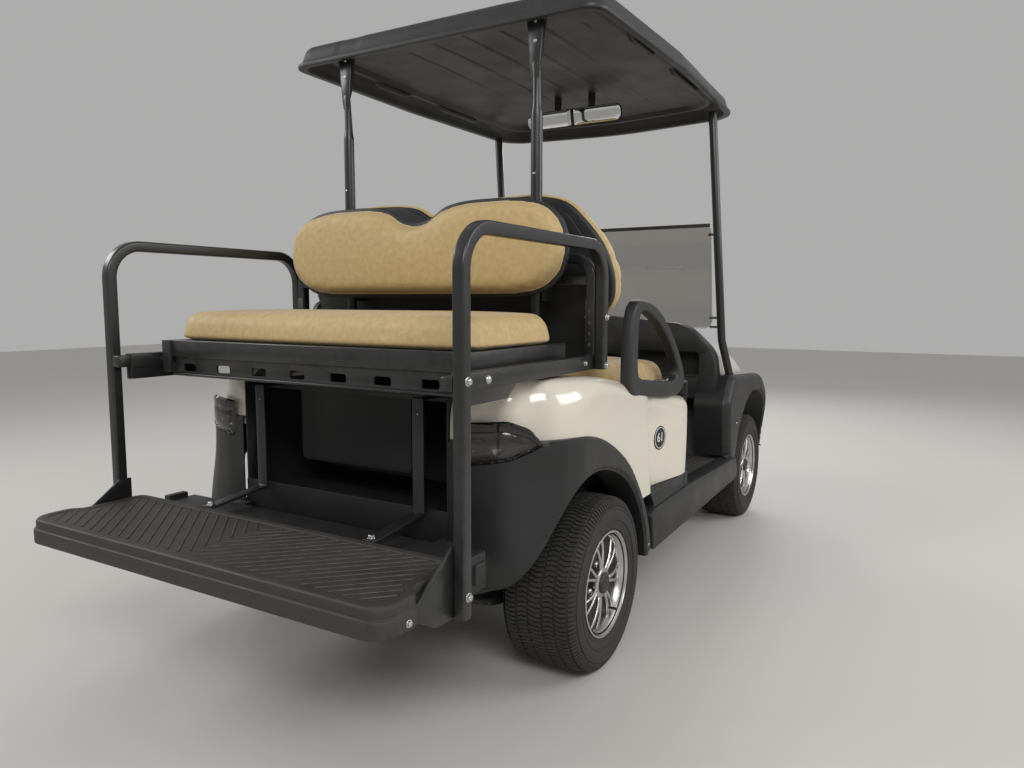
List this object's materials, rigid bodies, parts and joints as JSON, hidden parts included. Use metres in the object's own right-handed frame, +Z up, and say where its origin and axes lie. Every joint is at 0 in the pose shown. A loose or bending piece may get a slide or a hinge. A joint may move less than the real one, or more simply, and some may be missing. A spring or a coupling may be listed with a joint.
{
  "type": "golf cart",
  "caption": "Electric golf cart with roof, folded windscreen, front bench, rear-facing flip seat with grab bars and footboard, on cast wheels with working steering.",
  "frame": {"origin": "centre of the bounding box on the floor", "axes": "+Z up, the nose points to -Y, +X is the driver's side"},
  "size_m": [1.194, 2.942, 1.76],
  "materials": {
    "cream_paint": "glossy moulded and painted body panels",
    "black_plastic": "grained matte moulding",
    "floor_rubber": "ribbed floor mat",
    "kit_steel": "satin powder coat",
    "frame_steel": "chassis paint",
    "bare_metal": "dull machined metal",
    "motor_metal": "dark housing",
    "battery_case": "moulded case",
    "tan_vinyl": "soft grained vinyl",
    "seat_backing": "moulded shell",
    "deck_plastic": "ribbed footboard",
    "roof_plastic": "moulded canopy",
    "tinted_glass": "tinted sheet",
    "mirror_glass": "wide mirror",
    "lamp_smoke": "smoked lens",
    "lamp_clear": "clear lens",
    "tyre_rubber": "tread rubber",
    "alloy": "machined and painted alloy"
  },
  "bodies": {
    "cart": {"body_panels": "cream_paint", "front_cowl": "cream_paint", "rockers": "black_plastic", "rear_fenders": "black_plastic", "front_fenders": "black_plastic", "front_bumper": "black_plastic", "bag_well": "black_plastic", "seat_base": "black_plastic", "dash_panel": "black_plastic", "hip_restraints": "black_plastic", "steering_column": "black_plastic", "rear_bumper": "black_plastic", "floor_pan": "floor_rubber", "grab_bars": "kit_steel", "rear_seat_frame": "kit_steel", "footboard_frame": "kit_steel", "deck_straps": "kit_steel", "seat_back_frame": "kit_steel", "rear_struts": "kit_steel", "front_struts": "kit_steel", "frame_rails": "frame_steel", "front_axle": "frame_steel", "front_springs": "frame_steel", "rear_springs": "frame_steel", "pedals": "frame_steel", "rear_axle": "bare_metal", "drive_motor": "motor_metal", "battery_pack": "battery_case", "front_seat_cushion": "tan_vinyl", "front_seat_back": "tan_vinyl", "rear_seat_back": "tan_vinyl", "front_seat_shell": "seat_backing", "rear_seat_shell": "seat_backing", "footboard": "deck_plastic", "roof": "roof_plastic", "windscreen": "tinted_glass", "mirror": "mirror_glass", "taillights": "lamp_smoke", "headlights": "lamp_clear"},
    "flip_seat": {"rear_seat_tray": "kit_steel", "rear_seat_cushion": "tan_vinyl"},
    "steering_wheel": {"steering_wheel": "black_plastic"},
    "steering_rack": {"steering_rack": "bare_metal"},
    "knuckle_left": {"knuckle_left": "bare_metal"},
    "knuckle_right": {"knuckle_right": "bare_metal"},
    "wheel_rear_left": {"tyre_rear_left": "tyre_rubber", "rim_rear_left": "alloy"},
    "wheel_rear_right": {"tyre_rear_right": "tyre_rubber", "rim_rear_right": "alloy"},
    "wheel_front_left": {"tyre_front_left": "tyre_rubber", "rim_front_left": "alloy"},
    "wheel_front_right": {"tyre_front_right": "tyre_rubber", "rim_front_right": "alloy"}
  },
  "joints": [
    {"name": "rear_seat_flip", "type": "hinge", "parent": "cart", "child": "flip_seat", "pos_m": [0, 1.119, 0.805], "axis": [-1, 0, 0], "range_deg": [0, 180]},
    {"name": "steering_turn", "type": "hinge", "parent": "cart", "child": "steering_wheel", "pos_m": [0.255, -0.386, 0.9], "axis": [0, 0.7131, 0.701], "range_deg": [-541, 541]},
    {"name": "rack_slide", "type": "slide", "parent": "cart", "child": "steering_rack", "axis": [1, 0, 0], "range_m": [-0.0539, 0.0539]},
    {"name": "steer_left", "type": "hinge", "parent": "cart", "child": "knuckle_left", "pos_m": [0.35, -1.045, 0.229], "axis": [0, 0, 1], "range_deg": [-28, 28]},
    {"name": "steer_right", "type": "hinge", "parent": "cart", "child": "knuckle_right", "pos_m": [-0.35, -1.045, 0.229], "axis": [0, 0, 1], "range_deg": [-28, 28]},
    {"name": "spin_rear_left", "type": "hinge", "parent": "cart", "child": "wheel_rear_left", "pos_m": [0.485, 0.619, 0.229], "axis": [1, 0, 0], "continuous": true},
    {"name": "spin_rear_right", "type": "hinge", "parent": "cart", "child": "wheel_rear_right", "pos_m": [-0.485, 0.619, 0.229], "axis": [1, 0, 0], "continuous": true},
    {"name": "spin_front_left", "type": "hinge", "parent": "knuckle_left", "child": "wheel_front_left", "pos_m": [0.454, -1.045, 0.229], "axis": [1, 0, 0], "continuous": true},
    {"name": "spin_front_right", "type": "hinge", "parent": "knuckle_right", "child": "wheel_front_right", "pos_m": [-0.454, -1.045, 0.229], "axis": [1, 0, 0], "continuous": true}
  ],
  "couplings": [
    {"joint": "steer_right", "follows": "steer_left", "ratio": 1},
    {"joint": "steering_turn", "follows": "steer_left", "ratio": 19.3},
    {"joint": "rack_slide", "follows": "steer_left", "m_per_rad": -0.11}
  ]
}
